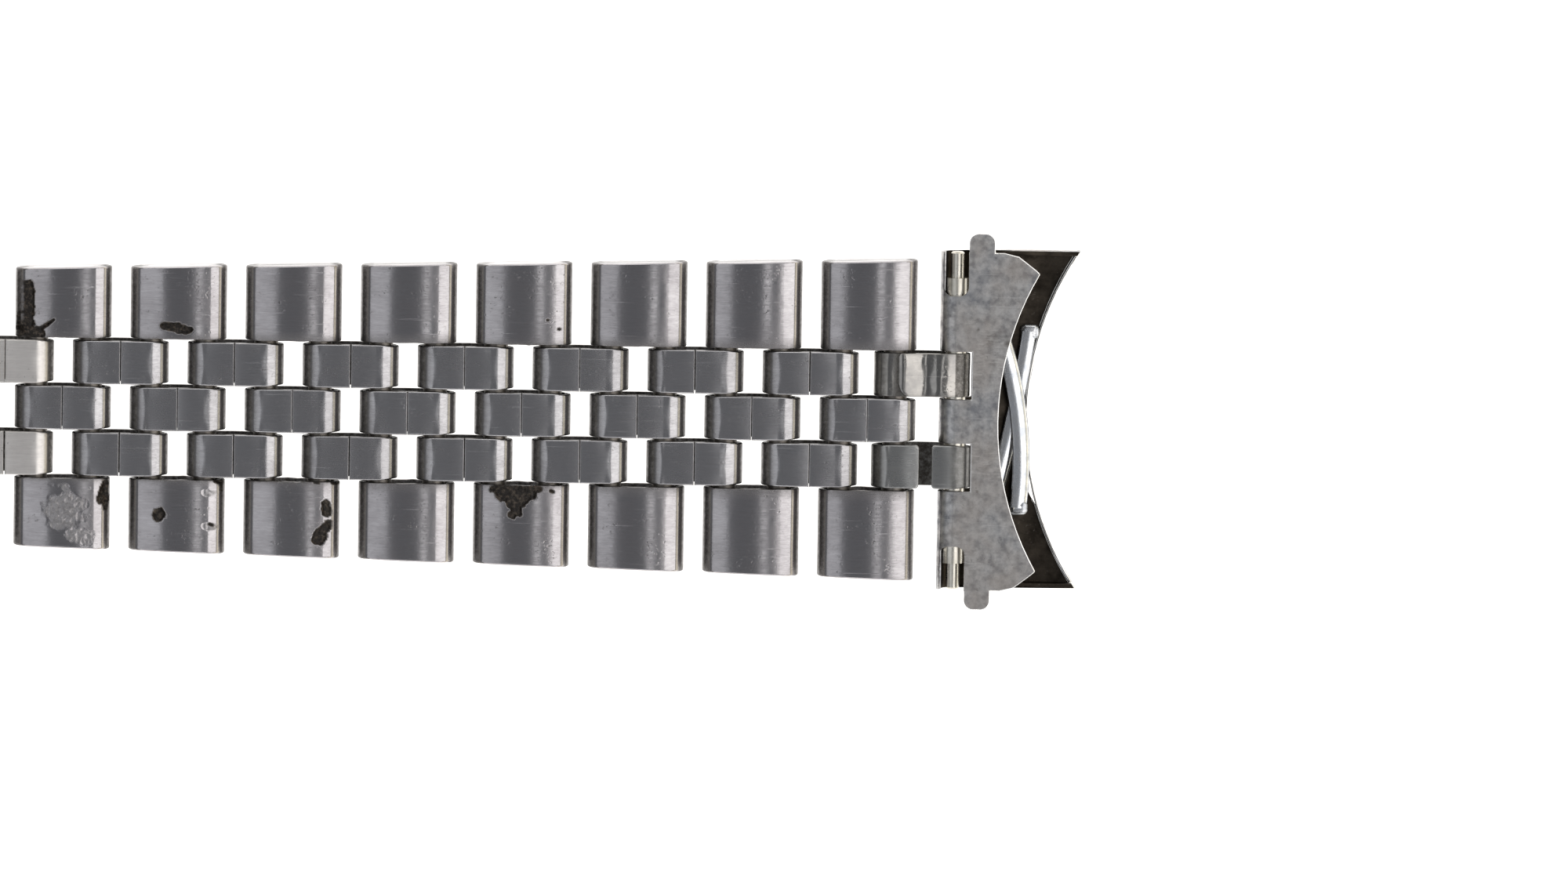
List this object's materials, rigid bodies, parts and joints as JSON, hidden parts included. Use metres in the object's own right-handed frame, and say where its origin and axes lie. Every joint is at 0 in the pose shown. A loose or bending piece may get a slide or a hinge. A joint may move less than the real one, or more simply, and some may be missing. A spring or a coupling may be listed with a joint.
{
  "type": "watch bracelet half",
  "caption": "Articulated half of a steel watch bracelet: folded links turning on cross pins, and a hollow curved end piece with its spring bar.",
  "frame": {"origin": "middle of the spring bar's axis, where the bracelet hangs between the watch case's lugs", "axes": "+X along the strap towards the watch case, +Y along the spring bar, +Z towards the wrist side; the dial side lies down"},
  "size_m": [0.0696, 0.0222, 0.0033],
  "materials": {
    "link_steel": "worn satin, brushed across the links",
    "pressed_steel": "matte rolled sheet with scuffs",
    "pin_steel": "dull, with wear and grime",
    "bar_steel": "turned",
    "spring_steel": "drawn wire"
  },
  "bodies": {
    "end_piece_body": {"end_piece": "pressed_steel", "front_leaves": "pressed_steel", "spring_bar_tube": "bar_steel", "spring_bar_coil": "spring_steel"},
    "tip_left_body": {"spring_bar_tip_left": "bar_steel"},
    "tip_right_body": {"spring_bar_tip_right": "bar_steel"},
    "inner_row_1": {"inner_link_left_1": "link_steel", "inner_link_right_1": "link_steel"},
    "outer_row_1": {"outer_link_left_1": "link_steel", "outer_link_right_1": "link_steel", "centre_link_1": "link_steel", "row_pins_1": "pin_steel"},
    "inner_row_2": {"inner_link_left_2": "link_steel", "inner_link_right_2": "link_steel"},
    "outer_row_2": {"outer_link_left_2": "link_steel", "outer_link_right_2": "link_steel", "centre_link_2": "link_steel", "row_pins_2": "pin_steel"},
    "inner_row_3": {"inner_link_left_3": "link_steel", "inner_link_right_3": "link_steel"},
    "outer_row_3": {"outer_link_left_3": "link_steel", "outer_link_right_3": "link_steel", "centre_link_3": "link_steel", "row_pins_3": "pin_steel"},
    "inner_row_4": {"inner_link_left_4": "link_steel", "inner_link_right_4": "link_steel"},
    "outer_row_4": {"outer_link_left_4": "link_steel", "outer_link_right_4": "link_steel", "centre_link_4": "link_steel", "row_pins_4": "pin_steel"},
    "inner_row_5": {"inner_link_left_5": "link_steel", "inner_link_right_5": "link_steel"},
    "outer_row_5": {"outer_link_left_5": "link_steel", "outer_link_right_5": "link_steel", "centre_link_5": "link_steel", "row_pins_5": "pin_steel"},
    "inner_row_6": {"inner_link_left_6": "link_steel", "inner_link_right_6": "link_steel"},
    "outer_row_6": {"outer_link_left_6": "link_steel", "outer_link_right_6": "link_steel", "centre_link_6": "link_steel", "row_pins_6": "pin_steel"},
    "inner_row_7": {"inner_link_left_7": "link_steel", "inner_link_right_7": "link_steel"},
    "outer_row_7": {"outer_link_left_7": "link_steel", "outer_link_right_7": "link_steel", "centre_link_7": "link_steel", "row_pins_7": "pin_steel"},
    "inner_row_8": {"inner_link_left_8": "link_steel", "inner_link_right_8": "link_steel"},
    "outer_row_8": {"outer_link_left_8": "link_steel", "outer_link_right_8": "link_steel", "centre_link_8": "link_steel", "row_pins_8": "pin_steel"},
    "inner_row_9": {"inner_link_left_9": "link_steel", "inner_link_right_9": "link_steel"},
    "outer_row_9": {"outer_link_left_9": "link_steel", "outer_link_right_9": "link_steel", "centre_link_9": "link_steel", "row_pins_9": "pin_steel"}
  },
  "joints": [
    {"name": "tip_left_slide", "type": "slide", "parent": "end_piece_body", "child": "tip_left_body", "axis": [0, 1, 0], "range_m": [0, 0.001], "deforming": ["spring_bar_coil"]},
    {"name": "tip_right_slide", "type": "slide", "parent": "end_piece_body", "child": "tip_right_body", "axis": [0, -1, 0], "range_m": [0, 0.001], "deforming": ["spring_bar_coil"]},
    {"name": "inner_row_1_turn", "type": "hinge", "parent": "end_piece_body", "child": "inner_row_1", "pos_m": [0, 0, 0], "axis": [0, 1, 0], "range_deg": [-16, 17]},
    {"name": "outer_row_1_turn", "type": "hinge", "parent": "inner_row_1", "child": "outer_row_1", "pos_m": [-0.00358, 0, 0], "axis": [0, 1, 0], "range_deg": [-16, 17]},
    {"name": "inner_row_2_turn", "type": "hinge", "parent": "outer_row_1", "child": "inner_row_2", "pos_m": [-0.00678, 0, 0], "axis": [0, 1, 0], "range_deg": [-16, 17]},
    {"name": "outer_row_2_turn", "type": "hinge", "parent": "inner_row_2", "child": "outer_row_2", "pos_m": [-0.01036, 0, 0], "axis": [0, 1, 0], "range_deg": [-16, 17]},
    {"name": "inner_row_3_turn", "type": "hinge", "parent": "outer_row_2", "child": "inner_row_3", "pos_m": [-0.01356, 0, 0], "axis": [0, 1, 0], "range_deg": [-16, 17]},
    {"name": "outer_row_3_turn", "type": "hinge", "parent": "inner_row_3", "child": "outer_row_3", "pos_m": [-0.01714, 0, 0], "axis": [0, 1, 0], "range_deg": [-16, 17]},
    {"name": "inner_row_4_turn", "type": "hinge", "parent": "outer_row_3", "child": "inner_row_4", "pos_m": [-0.02034, 0, 0], "axis": [0, 1, 0], "range_deg": [-16, 17]},
    {"name": "outer_row_4_turn", "type": "hinge", "parent": "inner_row_4", "child": "outer_row_4", "pos_m": [-0.02392, 0, 0], "axis": [0, 1, 0], "range_deg": [-16, 17]},
    {"name": "inner_row_5_turn", "type": "hinge", "parent": "outer_row_4", "child": "inner_row_5", "pos_m": [-0.02712, 0, 0], "axis": [0, 1, 0], "range_deg": [-16, 17]},
    {"name": "outer_row_5_turn", "type": "hinge", "parent": "inner_row_5", "child": "outer_row_5", "pos_m": [-0.0307, 0, 0], "axis": [0, 1, 0], "range_deg": [-16, 17]},
    {"name": "inner_row_6_turn", "type": "hinge", "parent": "outer_row_5", "child": "inner_row_6", "pos_m": [-0.0339, 0, 0], "axis": [0, 1, 0], "range_deg": [-16, 17]},
    {"name": "outer_row_6_turn", "type": "hinge", "parent": "inner_row_6", "child": "outer_row_6", "pos_m": [-0.03748, 0, 0], "axis": [0, 1, 0], "range_deg": [-16, 17]},
    {"name": "inner_row_7_turn", "type": "hinge", "parent": "outer_row_6", "child": "inner_row_7", "pos_m": [-0.04068, 0, 0], "axis": [0, 1, 0], "range_deg": [-16, 17]},
    {"name": "outer_row_7_turn", "type": "hinge", "parent": "inner_row_7", "child": "outer_row_7", "pos_m": [-0.04426, 0, 0], "axis": [0, 1, 0], "range_deg": [-16, 17]},
    {"name": "inner_row_8_turn", "type": "hinge", "parent": "outer_row_7", "child": "inner_row_8", "pos_m": [-0.04746, 0, 0], "axis": [0, 1, 0], "range_deg": [-16, 17]},
    {"name": "outer_row_8_turn", "type": "hinge", "parent": "inner_row_8", "child": "outer_row_8", "pos_m": [-0.05104, 0, 0], "axis": [0, 1, 0], "range_deg": [-16, 17]},
    {"name": "inner_row_9_turn", "type": "hinge", "parent": "outer_row_8", "child": "inner_row_9", "pos_m": [-0.05424, 0, 0], "axis": [0, 1, 0], "range_deg": [-16, 17]},
    {"name": "outer_row_9_turn", "type": "hinge", "parent": "inner_row_9", "child": "outer_row_9", "pos_m": [-0.05782, 0, 0], "axis": [0, 1, 0], "range_deg": [-16, 17]}
  ]
}
